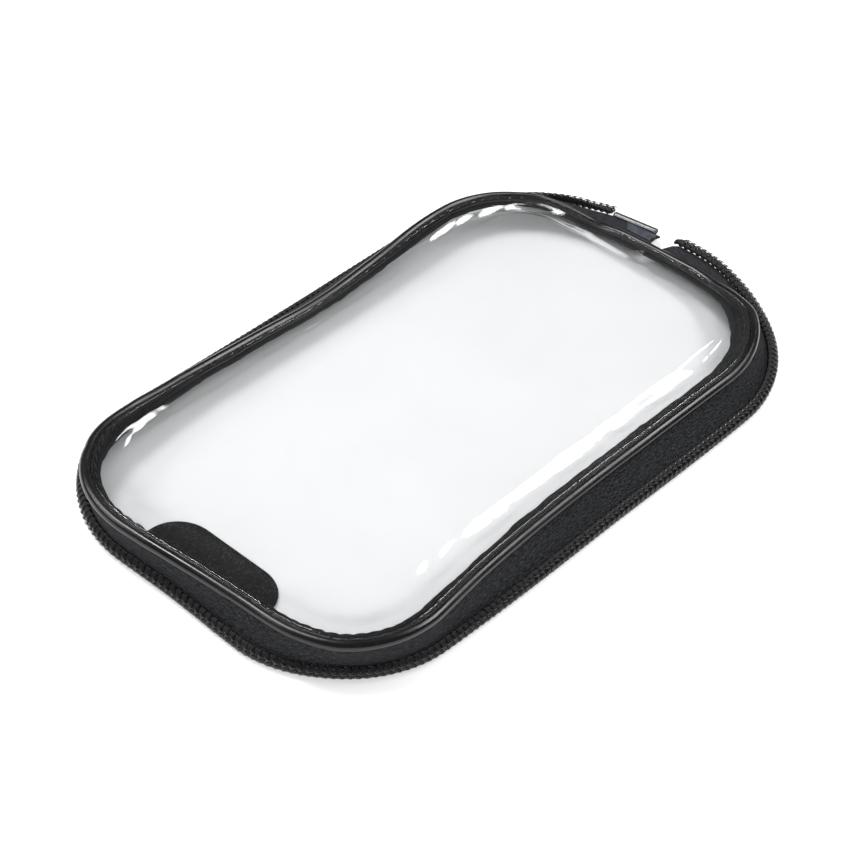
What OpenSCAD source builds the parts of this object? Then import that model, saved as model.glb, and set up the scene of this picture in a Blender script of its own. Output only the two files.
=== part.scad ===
// Zip-on clear phone pocket: a soft window in a piped rim on a leaning wall of zip tape.
// +Z up, the zip coil lies on the plane z = 0, +Y is the pin end of the zip, and the origin
// is the centre of the foot outline.

/* [Outline] */
// Length over the zip coil, along Y
length = 187; // [165:1:225]
// Width over the zip coil, along X
width = 104; // [90:1:125]
// Corner radius of the foot at the closed end, -Y, on the +X side
closed_r = 32; // [26:1:38]
// Corner radius of the foot at the closed end on the -X side
closed_left_r = 37; // [28:1:42]
// Corner radius of the foot at the pin end, +Y
pin_r = 41; // [32:1:42]

/* [Wall] */
// From the foot outline up the wall to the middle of the piping
wall_w = 10.7; // [9:0.1:13]
// Thickness of the woven zip tape
tape_t = 0.6; // [0.5:0.05:0.7]
// How far the tape and the piping strip reach in under the film
allowance = 3.2; // [2.6:0.1:4]

/* [Piping] */
// Outer diameter of the piping
piping_d = 2.6; // [2.3:0.1:3]
// Thickness of the vinyl strip folded round the cord
strip_t = 0.4; // [0.3:0.05:0.45]

/* [Window] */
// Thickness of the clear film
film_t = 0.5; // [0.3:0.05:0.6]
// Height of the top of the film over its raised middle
film_top = 9.3; // [8:0.1:12]
// Length of the raised middle
middle_l = 141; // [120:1:150]
// Width of the raised middle
middle_w = 69; // [60:1:74]

/* [Zip] */
// Diameter of the coil band
coil_d = 2.6; // [2.2:0.1:3]
// Diameter of the filler cord inside the coil
filler_d = 1.3; // [1:0.1:1.5]
// Diameter of the sewing thread
thread_d = 0.24; // [0.2:0.02:0.3]
// Diameter of the insertion pin
bar_d = 1.8; // [1.4:0.1:2]
// Length of the insertion pin
bar_l = 13.4; // [11:0.2:15]
// Length of the reinforced end of the tape
tape_end_l = 15; // [13:0.5:16]
// Thickness of each ply of the reinforcing film
end_film_t = 0.2; // [0.15:0.05:0.3]

/* [End tab] */
// Width of the fabric tab
tab_w = 36; // [24:1:50]
// Length of the fabric tab
tab_l = 17; // [12:1:24]
// Thickness of the fabric tab
tab_t = 1.2; // [0.8:0.1:1.6]
// Corner radius of the fabric tab
tab_r = 9; // [4:0.5:10]

/* [Hidden] */
$fn = 48;

// Slope of the wall in degrees at sixteen stations. Station 0 is the middle of the +X side
// and they run anticlockwise: 2, 6, 10 and 14 are the corners. Between them the soft wall
// leans over smoothly: it stands up at the closed end and lies low at the pin end.
wall_slope = [47, 48, 45, 27, 23, 18, 37, 52, 36, 45, 76, 84, 78, 68, 86, 62];
STATIONS = 16;
STRAIGHT_STEPS = 3;
ARC_STEPS = 6;

gap = 0.15;              // clearance between the coil and the tape beside it
thread_play = 0.25;      // how much thinner a thread is than its space between plies
ply_gap = 0.05;          // half the slit between the two plies of the piping strip
piping_r = piping_d / 2;
cord_r = piping_r - strip_t;
cord_play = 0.05;        // clearance between the cord and the strip round it
flange_h = ply_gap + strip_t;
film_h = flange_h + thread_d + thread_play + film_t / 2;   // film above the flange's middle
flat = 0.05;             // how far the coil is flattened where it lies on z = 0
coil_at = [-coil_d / 2, coil_d / 2 - flat];  // middle of the coil in the wall's section
tape_off = coil_d / 2 + tape_t / 2 + gap;
foot_reach = 0.8;        // most that the tape goes on down the wall beyond the coil
middle_at = -3.5;        // middle of the raised part along Y
middle_radii = [10, 10, 10, 10];   // of its corners
film_mid = film_top - film_t / 2;
film_bend = 0.4;         // from the hem to where the film leaves the seam
film_arch = 0.18;        // share of its rise by which the slope of the film is arched

tape_start = 5;          // from the middle of the +Y side to the tape's pin end
bar_start = 6.6;         // and to the end of the insertion pin
split = tape_start + tape_end_l;   // where the bending end of the tape begins
end_film_l = 9;          // length of the reinforcing film
hinge_off = 2.4;         // from the tape's knee to the hinge line of its bending end
hinge_gap = 0.5;         // clearance on each side of that line, and at the end's cut side
cut_at = split + hinge_gap;        // where the rest of the tape ends
pin_turn = 3;            // how far the pin turns outwards from the hinge line
bar_in = 0.85;           // from the foot outline in to the pin
bar_up = 0.2;            // and from z = 0 up to it
film_inset = 0.2;        // of the reinforcing film from the edges of the tape
tuck_l = 12;             // length over which the other tape end turns in under the rim
tuck_share = 0.85;       // how far its foot comes up towards the knee
coil_end = 9;            // where that end's coil leaves the foot outline
coil_start = split + 0.5;
tail_end = 3;            // where the coil itself ends, along X
tail_in = 0.66;          // how far in it ends there, as a share of the wall
tail_up = 2.3;           // and how high, as a share of its height elsewhere
outer_row = 62;          // places of the two sewing rows, degrees round the coil
inner_row = 100;
seam_in = [0.35, 1.3];   // the two sewing rows of the window, inward of the piping
tack_l = 1.6;            // bar tack across the tape's turned-in end
tack_at = 5.5;           // and how far it is from that end
tack_gap = 0.15;         // its clearance from the wall
wall_play = 0.52;        // from the twisting wall to the sewing row on its inner face
looper_up = 4.2;         // sewing row on the inner face of the tape, above its foot
tab_at = -length / 2 + 4.1;        // root of the fabric tab along Y
tab_seam = 1.5;          // from its edges to its sewing

// ---- Outlines and stations ----

function blend(f) = f * f * (3 - 2 * f);

// Rounded rectangle at station t: [x, y, angle of the outward normal]. radii are those of
// the corners at stations 2, 6, 10 and 14.
function outline_at(t, half_l, half_w, radii, mid_y) =
    let (
        octant = floor(t / 2) % 8,
        f = t / 2 - floor(t / 2),
        rising = octant % 2 == 0,
        side = floor((octant + 1) / 2) % 4,
        r = radii[floor(octant / 2)],
        reach = side % 2 == 0 ? half_w : half_l,
        straight = (side % 2 == 0 ? half_l : half_w) - r,
        s = (rising ? f : 1 - f) * (straight + r * PI / 4),
        turn = rising ? 1 : -1,
        mid = 90 * side,
        a = mid + turn * max(0, s - straight) / r * 180 / PI,
        run = turn * min(s, straight)
    )
    [
        (reach - r) * cos(mid) - run * sin(mid) + r * cos(a),
        (reach - r) * sin(mid) + run * cos(mid) + r * sin(a) + mid_y,
        a
    ];

foot_radii = [pin_r, pin_r, closed_left_r, closed_r];
function foot_at(t) = outline_at(t, length / 2, width / 2, foot_radii, 0);
function middle_edge(t) =
    outline_at(t, middle_l / 2, middle_w / 2, middle_radii, middle_at);

// Station of a place on the +Y side, s to the -X side of its middle
far_step = (width / 2 - pin_r + pin_r * PI / 4) / 2;
function far_station(s) = 4 + s / far_step;

// Stations of one octant, from the middle of a side to a corner or back
function octant_stations(k) =
    let (
        r = foot_radii[floor(k / 2)],
        side = floor((k + 1) / 2) % 4,
        straight = (side % 2 == 0 ? length : width) / 2 - r,
        fs = straight / (straight + r * PI / 4),
        from_side = concat(
            [for (i = [0:STRAIGHT_STEPS - 1]) fs * i / STRAIGHT_STEPS],
            [for (i = [0:ARC_STEPS - 1]) fs + (1 - fs) * i / ARC_STEPS]
        ),
        from_corner = concat(
            [for (i = [0:ARC_STEPS - 1]) (1 - fs) * i / ARC_STEPS],
            [for (i = [0:STRAIGHT_STEPS - 1]) 1 - fs + fs * i / STRAIGHT_STEPS]
        )
    )
    [for (f = (k % 2 == 0 ? from_side : from_corner)) 2 * k + 2 * f];

ring_stations = [for (k = [0:7]) each octant_stations(k)];
two_turns = concat(ring_stations, [for (t = ring_stations) t + STATIONS]);

function stations_between(a, b) =
    concat([a], [for (t = two_turns) if (t > a + 0.05 && t < b - 0.05) t], [b]);

// ---- Section of the rim and wall ----
// Points of a section are [r, z]: r outward from the foot outline, z up.

function place(t, p) =
    let (s = foot_at(t))
    [s[0] + p[0] * cos(s[2]), s[1] + p[0] * sin(s[2]), p[1]];

// Smooth curve through the four numbers p, at f of the way from the second to the third
function curve(p, f) =
    p[1] + f / 2 * (p[2] - p[0]
    + f * (2 * p[0] - 5 * p[1] + 4 * p[2] - p[3]
    + f * (3 * p[1] - p[0] - 3 * p[2] + p[3])));

function slope_at(t) =
    let (i = floor(t))
    curve([for (k = [-1:2]) wall_slope[(i + k + STATIONS) % STATIONS]], t - i);

function unit(v) = v / norm(v);
function outward(d) = [d[1], -d[0]];

// Middle of the piping
function piping_at(t) = wall_w * [-cos(slope_at(t)), sin(slope_at(t))];

// Slope of the film where it leaves the rim
function film_rise(t) =
    let (p = place(t, piping_at(t)), m = middle_edge(t))
    atan2(film_mid - p[2] - film_h, norm([p[0] - m[0], p[1] - m[1]]));

// Point of the seam: q inward from the middle of the piping, h above the piping flange
function seam_point(t, q, h) =
    let (a = film_rise(t))
    piping_at(t) + q * [-cos(a), sin(a)] + h * [sin(a), cos(a)];

// Direction up the wall
function wall_up(t) = unit(piping_at(t) - coil_at);

// Middle line of the tape: its foot beside the coil, its knee under the piping, its hem
function tape_foot(t) =
    let (
        d = wall_up(t),
        lift = min(outward(d)[1], (coil_at[1] - tape_t / 2) / tape_off),
        p = coil_at - tape_off * [sqrt(1 - lift * lift), lift]
    )
    p - max(0, min(foot_reach, (p[1] - tape_t / 2) / d[1])) * d;

function knee_normal(t) =
    let (a = film_rise(t))
    unit(outward(wall_up(t)) + [sin(a), cos(a)]);

function tape_knee(t) = piping_at(t) - (piping_r + tape_t / 2) * knee_normal(t);
function tape_hem(t) = seam_point(t, piping_r + allowance, -flange_h - tape_t / 2);

// How far the turned-in end of the tape has gone from foot to knee
function tuck(t) = tuck_share * blend(max(0, 1 - (STATIONS + 4 - t) * far_step / tuck_l));
function tape_section(t) =
    let (
        k = tape_knee(t),
        foot = tape_foot(t),
        f = foot + tuck(t) * (k - foot),
        h = tape_hem(t),
        nf = outward(unit(k - f)) * tape_t / 2,
        nk = knee_normal(t) * tape_t / 2,
        nh = outward(unit(h - k)) * tape_t / 2
    )
    [f + nf, k + nk, h + nh, h - nh, k - nk, f - nf];

// What is left of the tape above the hinge line of its bending end
function stub_section(t) =
    let (
        k = tape_knee(t),
        h = tape_hem(t),
        d = unit(tape_foot(t) - k),
        f = k + (hinge_off - hinge_gap) * d,
        nf = outward(-d) * tape_t / 2,
        nk = knee_normal(t) * tape_t / 2,
        nh = outward(unit(h - k)) * tape_t / 2
    )
    [f + nf, k + nk, h + nh, h - nh, k - nk, f - nf];

// Square section of a sewing thread round a middle point, d is the direction of its ply
function thread_section(c, d) =
    let (u = thread_d / 2 * outward(d), v = thread_d / 2 * d)
    [c + u - v, c + u + v, c - u + v, c - u - v];

function arc_points(t, r, first, last, n) =
    [for (i = [0:n]) let (a = first + (last - first) * i / n) seam_point(t, r * cos(a), r * sin(a))];

// Half the angle of the slit seen from the middle of the cord
slit_a = asin(ply_gap / cord_r);

// The strip folded round the cord, open by a hair between its two plies
function strip_section(t) =
    let (
        outer_a = asin(flange_h / piping_r),
        q = piping_r + allowance
    )
    concat(
        [seam_point(t, q, flange_h)],
        arc_points(t, piping_r, outer_a, 360 - outer_a, 8),
        [seam_point(t, q, -flange_h), seam_point(t, q, -ply_gap)],
        arc_points(t, cord_r, 360 - slit_a, slit_a, 7),
        [seam_point(t, q, ply_gap)]
    );

// ---- Lofts and rings ----

// Solid through a list of sections, each a list of points in space. The sections turn
// clockwise seen against their travel, closed joins the last section to the first.
module loft(rings, closed = false) {
    n = len(rings[0]);
    m = len(rings);
    spans = closed ? m : m - 1;
    sides = [
        for (i = [0:spans - 1], j = [0:n - 1])
        let (a = i * n, b = ((i + 1) % m) * n, j2 = (j + 1) % n)
        each [[a + j, a + j2, b + j2], [a + j, b + j2, b + j]]
    ];
    caps = closed ? [] : [
        [for (j = [n - 1:-1:0]) j],
        [for (j = [0:n - 1]) (m - 1) * n + j]
    ];
    polyhedron(points = [for (r = rings) each r], faces = concat(sides, caps), convexity = 8);
}

function placed(t, section) = [for (p = section) place(t, p)];

// Round bar that follows the foot outline from the pin end of the coil, by way of the closed
// end, to the coil's other end: at = [r, z] of its middle in the section
module foot_bar(at, r, pin_side, tail_side) {
    inset = -at[0];
    x0 = width / 2;
    y0 = length / 2;
    start = (pin_side - (x0 - pin_r)) / pin_r * 180 / PI;
    translate([0, 0, at[1]]) {
        bar_corner(-(x0 - pin_r), y0 - pin_r, pin_r - inset, r, 180, start - 90);
        bar_corner(x0 - pin_r, y0 - pin_r, pin_r - inset, r, 0, 90);
        bar_corner(closed_left_r - x0, closed_left_r - y0, closed_left_r - inset, r, 180, 90);
        bar_corner(x0 - closed_r, closed_r - y0, closed_r - inset, r, 270, 90);
        for (side = [[-1, closed_left_r], [1, closed_r]])
            translate([side[0] * (x0 - inset), side[1] - y0, 0])
                rotate([-90, 0, 0])
                    cylinder(h = 2 * y0 - pin_r - side[1], r = r);
        translate([closed_left_r - x0, -(y0 - inset), 0])
            rotate([0, 90, 0])
                cylinder(h = 2 * x0 - closed_left_r - closed_r, r = r);
        translate([tail_side, y0 - inset, 0])
            rotate([0, 90, 0])
                cylinder(h = x0 - pin_r - tail_side, r = r);
    }
}

module bar_corner(x, y, path_r, r, from, sweep) {
    translate([x, y, 0])
        rotate([0, 0, from])
            rotate_extrude(angle = sweep)
                translate([path_r, 0])
                    circle(r = r);
}

// Frame of the bending tape end: origin on its hinge line, +Y down the wall, +Z out of it
function hinge_point(t) =
    let (k = tape_knee(t))
    k + hinge_off * unit(tape_foot(t) - k);

hinge_t = far_station(tape_start + tape_end_l / 2);
hinge_a = place(far_station(split), hinge_point(far_station(split)));
hinge_b = place(far_station(tape_start), hinge_point(far_station(tape_start)));
hinge_at = (hinge_a + hinge_b) / 2;
hinge_run = hinge_b - hinge_a;
hinge_l = norm(hinge_run);
heading = atan2(hinge_run[1], hinge_run[0]);
rise = asin(hinge_run[2] / hinge_l);
bar_at = [-bar_d / 2 - bar_in, bar_d / 2 + bar_up];   // middle of the pin in the section
end_run = bar_at - hinge_point(hinge_t);
end_w = norm(end_run);                       // hinge line to the middle of the pin
end_tilt = atan2(end_run[1], end_run[0]);

module tape_end_frame() {
    translate(hinge_at)
        rotate([0, -rise, heading])
            rotate([end_tilt, 0, 0])
                children();
}

// Flat piece of the tape end from x0 to its free end, inset from the hinge line and from
// the pin, low side at z
module end_strip(x0, inset, z, t) {
    x1 = tape_end_l / 2;
    top = hinge_gap + inset;
    foot = [for (x = [x0, x1]) end_w + x * tan(pin_turn) - bar_d / 2 - inset];
    translate([0, 0, z])
        linear_extrude(height = t)
            polygon([
                [x0 * hinge_l / tape_end_l, top], [x1 * hinge_l / tape_end_l, top],
                [x1, foot[1]], [x0, foot[0]]
            ]);
}

// ---- Window side ----

// Clear film: two rows on the seam, one on the slope, one round the raised middle
module window_film() {
    rows = [
        for (t = ring_stations)
        let (
            a = place(t, seam_point(t, piping_r, film_h)),
            b = place(t, seam_point(t, piping_r + allowance + film_bend, film_h)),
            m = middle_edge(t),
            d = [m[0], m[1], film_mid],
            c = b + 0.5 * (d - b) + [0, 0, film_arch * (film_mid - b[2])]
        )
        [a, b, c, d]
    ];
    n = len(rows);
    half = [0, 0, film_t / 2];
    top = [for (r = rows) each [for (p = r) p + half]];
    low = [for (r = rows) each [for (p = r) p - half]];
    points = concat(top, low, [[0, middle_at, film_top], [0, middle_at, film_top - film_t]]);
    base = 4 * n;
    skins = [
        for (i = [0:n - 1], j = [0:2])
        let (a = 4 * i + j, b = 4 * ((i + 1) % n) + j)
        each [
            [a, a + 1, b + 1], [a, b + 1, b],
            [base + a, base + b + 1, base + a + 1], [base + a, base + b, base + b + 1]
        ]
    ];
    edges = [
        for (i = [0:n - 1])
        let (a = 4 * i, b = 4 * ((i + 1) % n))
        each [
            [a, b, base + b], [a, base + b, base + a],
            [a + 3, 2 * base, b + 3], [base + a + 3, base + b + 3, 2 * base + 1]
        ]
    ];
    color([0.9, 0.93, 0.95, 0.35])
        polyhedron(points = points, faces = concat(skins, edges), convexity = 6);
}

module piping_cover() {
    color([0.08, 0.08, 0.09])
        loft([for (t = ring_stations) placed(t, strip_section(t))], closed = true);
}

module piping_cord() {
    color([0.85, 0.85, 0.82])
        loft(
            [
                for (t = ring_stations)
                placed(t, arc_points(t, cord_r - cord_play, slit_a, 360 - slit_a, 7))
            ],
            closed = true
        );
}

// Thread laid along the seam, q inward of the piping and h above its flange
module seam_line(q, h) {
    color([0.12, 0.12, 0.13])
        loft(
            [
                for (t = ring_stations)
                let (a = film_rise(t))
                placed(t, thread_section(seam_point(t, q, h), [-cos(a), sin(a)]))
            ],
            closed = true
        );
}

seam_h = flange_h + (thread_d + thread_play) / 2;

module piping_thread() {
    seam_line(piping_r + seam_in[0], seam_h);
}

module window_seam_thread() {
    seam_line(piping_r + seam_in[1], seam_h);
}

module seam_bobbin_thread() {
    color([0.12, 0.12, 0.13])
        loft(
            [
                for (t = ring_stations)
                let (
                    k = tape_knee(t),
                    d = unit(tape_hem(t) - k),
                    low = outward(d) * ((tape_t + thread_d) / 2 + thread_play)
                )
                placed(t, thread_section(k + 0.5 * (tape_hem(t) - k) - low, d))
            ],
            closed = true
        );
}

// ---- Zip side ----

module zip_tape() {
    color([0.16, 0.16, 0.17])
        loft(concat(
            [
                for (t = stations_between(far_station(tape_start), far_station(cut_at)))
                placed(t, stub_section(t))
            ],
            [
                for (t = stations_between(far_station(cut_at + ply_gap), STATIONS + 4))
                placed(t, tape_section(t))
            ]
        ));
}

// Where the coil's tail ends, tucked under the rim
tail_foot = [coil_end, length / 2 + coil_at[0], coil_at[1]];
tail_top = [tail_end, length / 2 - tail_in * wall_w, tail_up * coil_at[1]];

module tail_bar(r) {
    run = tail_top - tail_foot;
    translate(tail_foot) {
        sphere(r = r);
        rotate([0, acos(run[2] / norm(run)), atan2(run[1], run[0])])
            cylinder(h = norm(run), r = r);
    }
}

module zip_coil() {
    color([0.10, 0.10, 0.11])
        difference() {
            union() {
                foot_bar(coil_at, coil_d / 2, coil_start, coil_end);
                tail_bar(coil_d / 2);
            }
            foot_bar(coil_at, filler_d / 2 + 0.05, coil_start, coil_end);
            translate([-width, -length, -coil_d])
                cube([2 * width, 2 * length, coil_d]);
        }
}

module coil_cord() {
    color([0.20, 0.20, 0.21])
        foot_bar(coil_at, filler_d / 2, coil_start, coil_end + 1);
}

// Row of sewing over the coil, a degrees up its round side from the outside
module coil_row(a) {
    at = coil_at + (coil_d + thread_d) / 2 * [cos(a), sin(a)];
    color([0.55, 0.55, 0.57])
        foot_bar(at, thread_d / 2, coil_start + 0.5, coil_end + 1);
}

module coil_thread_outer() {
    coil_row(outer_row);
}

module coil_thread_inner() {
    coil_row(inner_row);
}

module coil_looper_thread() {
    color([0.12, 0.12, 0.13])
        loft([
            for (t = stations_between(far_station(coil_start + 0.5), STATIONS + 4 - tuck_l / far_step))
            let (
                f = tape_foot(t),
                d = unit(tape_knee(t) - f),
                low = outward(d) * ((tape_t + thread_d) / 2 + wall_play)
            )
            placed(t, thread_section(f + looper_up * d - low, d))
        ]);
}

// Bar tack over the turned-in end
module tail_tack() {
    t = STATIONS + 4 - tack_at / far_step;
    section = tape_section(t);
    down = section[0] - section[1];
    mid = (section[0] + section[1]) / 2 + outward(unit(-down)) * tack_gap;
    color([0.14, 0.14, 0.15])
        translate(place(t, mid))
            rotate([0, 0, foot_at(t)[2] - 90])
                rotate([atan2(down[1], down[0]), 0, 0])
                    for (i = [-2:2])
                        translate([1.5 * thread_d * i, -tack_l / 2, 0])
                            cube([thread_d, tack_l, thread_d]);
}

// ---- Bending end of the tape ----

module pin_end_tape() {
    color([0.16, 0.16, 0.17])
        tape_end_frame()
            end_strip(-tape_end_l / 2, 0, -tape_t / 2, tape_t);
}

module end_film(z) {
    color([0.45, 0.48, 0.54])
        tape_end_frame()
            end_strip(tape_end_l / 2 - end_film_l, film_inset, z, end_film_t);
}

module end_film_outer() {
    end_film(tape_t / 2);
}

module end_film_inner() {
    end_film(-tape_t / 2 - end_film_t);
}

module insertion_pin() {
    color([0.80, 0.80, 0.82])
        tape_end_frame()
            translate([0, end_w, 0])
                rotate([0, 90, pin_turn])
                    translate([0, 0, tape_end_l / 2 - bar_start + tape_start - bar_l])
                        cylinder(h = bar_l, r = bar_d / 2);
}

// ---- End tab ----

module end_tab() {
    color([0.15, 0.15, 0.15])
        translate([0, tab_at, 0])
            linear_extrude(height = tab_t)
                intersection() {
                    translate([-tab_w / 2, 0])
                        square([tab_w, tab_l]);
                    union() {
                        translate([-tab_w / 2, 0])
                            square([tab_w, tab_l - tab_r]);
                        translate([-tab_w / 2 + tab_r, 0])
                            square([tab_w - 2 * tab_r, tab_l]);
                        for (side = [-1, 1])
                            translate([side * (tab_w / 2 - tab_r), tab_l - tab_r])
                                circle(r = tab_r);
                    }
                }
}

module end_tab_thread() {
    color([0.12, 0.12, 0.13])
        translate([-tab_w / 2 + tab_seam, tab_at + tab_seam, tab_t])
            cube([tab_w - 2 * tab_seam, thread_d, thread_d]);
}

window_film();
piping_cover();
piping_cord();
piping_thread();
window_seam_thread();
seam_bobbin_thread();
zip_tape();
zip_coil();
coil_cord();
coil_thread_outer();
coil_thread_inner();
coil_looper_thread();
tail_tack();
pin_end_tape();
end_film_outer();
end_film_inner();
insertion_pin();
end_tab();
end_tab_thread();
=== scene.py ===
"""Clear zip-on phone pocket: window film, piped rim, zip tape wall and half a coil zip."""

import logging
import math
from collections.abc import Callable, Sequence
from dataclasses import dataclass, field
from enum import Enum
from functools import cache, reduce

import bmesh
import bpy
from mathutils import Matrix, Vector, noise


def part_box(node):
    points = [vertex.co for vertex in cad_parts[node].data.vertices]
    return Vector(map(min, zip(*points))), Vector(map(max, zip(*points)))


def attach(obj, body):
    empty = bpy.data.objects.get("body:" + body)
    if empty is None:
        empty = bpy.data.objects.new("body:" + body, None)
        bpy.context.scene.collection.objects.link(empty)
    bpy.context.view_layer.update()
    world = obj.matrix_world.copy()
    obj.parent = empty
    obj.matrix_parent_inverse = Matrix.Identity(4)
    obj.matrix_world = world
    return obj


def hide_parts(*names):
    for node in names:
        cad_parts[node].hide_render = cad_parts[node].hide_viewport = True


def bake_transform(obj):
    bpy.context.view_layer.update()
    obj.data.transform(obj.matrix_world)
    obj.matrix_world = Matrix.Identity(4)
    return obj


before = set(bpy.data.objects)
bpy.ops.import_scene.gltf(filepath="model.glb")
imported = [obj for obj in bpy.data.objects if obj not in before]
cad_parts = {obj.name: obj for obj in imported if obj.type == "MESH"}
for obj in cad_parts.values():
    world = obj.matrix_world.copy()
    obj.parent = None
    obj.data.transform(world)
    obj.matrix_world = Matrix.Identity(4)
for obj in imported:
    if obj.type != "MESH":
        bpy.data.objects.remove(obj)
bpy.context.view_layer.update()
LOG = logging.getLogger("phone_pocket")
MM = 0.001
STATIONS = 16
TURN = 2 * math.pi

Pair = tuple[float, float]
Triple = tuple[float, float, float]
Colour = Triple
Socket = bpy.types.NodeSocket
Placer = Callable[[float, float], Vector]
Layer = Callable[[Vector], Vector]


class Body(Enum):
    """Rigid bodies that pieces ride on."""

    POCKET = "pocket"
    TAPE_END = "tape_end"
    TAB = "tab"


class Slot(Enum):
    """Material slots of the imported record."""

    FILM = "clear_film"
    VINYL = "black_vinyl"
    WHITE_CORD = "white_cord"
    BLACK_CORD = "black_cord"
    BLACK_THREAD = "black_thread"
    ZIP_THREAD = "zip_thread"
    TAPE = "woven_tape"
    COIL = "nylon_coil"
    END_FILM = "end_film"
    PIN = "pin_metal"
    TAB = "tab_fabric"


# ---------------------------------------------------------------- geometry of the rim


def blend(f: float) -> float:
    """Smooth step from 0 to 1 of a fraction, held outside it."""
    f = min(1.0, max(0.0, f))
    return f * f * (3 - 2 * f)


def ripple(x: float, y: float = 0.0, z: float = 0.0) -> float:
    """Smooth noise from about -1 to 1 at a place."""
    return noise.noise(Vector((x, y, z)))


def catmull(p: Sequence[float], f: float) -> float:
    """Smooth curve through four numbers, at f of the way from the second to the third."""
    return p[1] + f / 2 * (
        p[2] - p[0] + f * (2 * p[0] - 5 * p[1] + 4 * p[2] - p[3] + f * (3 * p[1] - p[0] - 3 * p[2] + p[3]))
    )


def looped(values: Sequence[float], place: float) -> float:
    """Smooth curve through a closed row of values.

    Args:
        values: The values at whole places.
        place: Where to read, in places from the first value.

    Returns:
        The value there.
    """
    i = math.floor(place)
    return catmull([values[(i + k) % len(values)] for k in (-1, 0, 1, 2)], place - i)


@dataclass(frozen=True)
class Outline:
    """Rounded rectangle read by station: 0 is the middle of the +X side, 16 go round."""

    half_l: float
    half_w: float
    radii: tuple[float, float, float, float]
    mid_y: float = 0.0

    def octant_length(self, k: int) -> float:
        """Length of one octant, from the middle of a side to a corner or back."""
        r = self.radii[k % 8 // 2]
        side = ((k % 8) + 1) // 2 % 4
        return (self.half_l if side % 2 == 0 else self.half_w) - r + r * math.pi / 4

    def at(self, t: float) -> tuple[float, float, float]:
        """Place and outward direction at a station.

        Args:
            t: The station.

        Returns:
            x, y and the angle of the outward normal in radians.
        """
        octant = math.floor(t / 2) % 8
        f = t / 2 - math.floor(t / 2)
        rising = octant % 2 == 0
        side = (octant + 1) // 2 % 4
        r = self.radii[octant // 2]
        reach = self.half_w if side % 2 == 0 else self.half_l
        straight = (self.half_l if side % 2 == 0 else self.half_w) - r
        s = (f if rising else 1 - f) * (straight + r * math.pi / 4)
        turn = 1 if rising else -1
        mid = math.pi / 2 * side
        a = mid + turn * max(0.0, s - straight) / r
        run = turn * min(s, straight)
        return (
            (reach - r) * math.cos(mid) - run * math.sin(mid) + r * math.cos(a),
            (reach - r) * math.sin(mid) + run * math.cos(mid) + r * math.sin(a) + self.mid_y,
            a,
        )

    def run_to(self, t: float) -> float:
        """Length along the outline from station 0 to station t."""
        turns, rest = divmod(t, STATIONS)
        whole = sum(self.octant_length(k) for k in range(8))
        k = int(rest // 2)
        part = sum(self.octant_length(i) for i in range(k))
        return turns * whole + part + (rest / 2 - k) * self.octant_length(k)

    def station(self, s: float) -> float:
        """Station at a length s along the outline from station 0."""
        whole = sum(self.octant_length(k) for k in range(8))
        turns, rest = divmod(s, whole)
        k = 0
        while k < 7 and rest > self.octant_length(k):
            rest -= self.octant_length(k)
            k += 1
        return turns * STATIONS + 2 * (k + rest / self.octant_length(k))


@dataclass
class Cut:
    """Section of the rim at one station: r outward from the foot outline, z up."""

    t: float
    x: float
    y: float
    turn: float
    out: Vector
    lean: Vector
    face: Vector
    arrive: Vector
    pull: float
    bead: Vector
    rise: float
    knee: Vector
    coil: Vector
    foot: Vector

    def place(self, p: Vector) -> Vector:
        """Point in space of a point of the section, in metres."""
        return Vector((self.x + p.x * math.cos(self.turn), self.y + p.x * math.sin(self.turn), p.y)) * MM

    def seam(self, q: float, h: float) -> Vector:
        """Point q inward from the middle of the bead and h above its flange."""
        c, s = math.cos(self.rise), math.sin(self.rise)
        return self.bead + Vector((-c * q + s * h, s * q + c * h))


@dataclass
class Spot:
    """One place on the rim where a small piece, such as a stitch, is laid."""

    cut: Cut

    def __post_init__(self) -> None:
        """Work out the direction along the rim."""
        self.along = Vector((-math.sin(self.cut.turn), math.cos(self.cut.turn), 0.0)) * MM

    def place(self, p: Vector, run: float) -> Vector:
        """Point in space of a point p of the section, run mm along the rim from it."""
        return self.cut.place(p) + run * self.along


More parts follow.
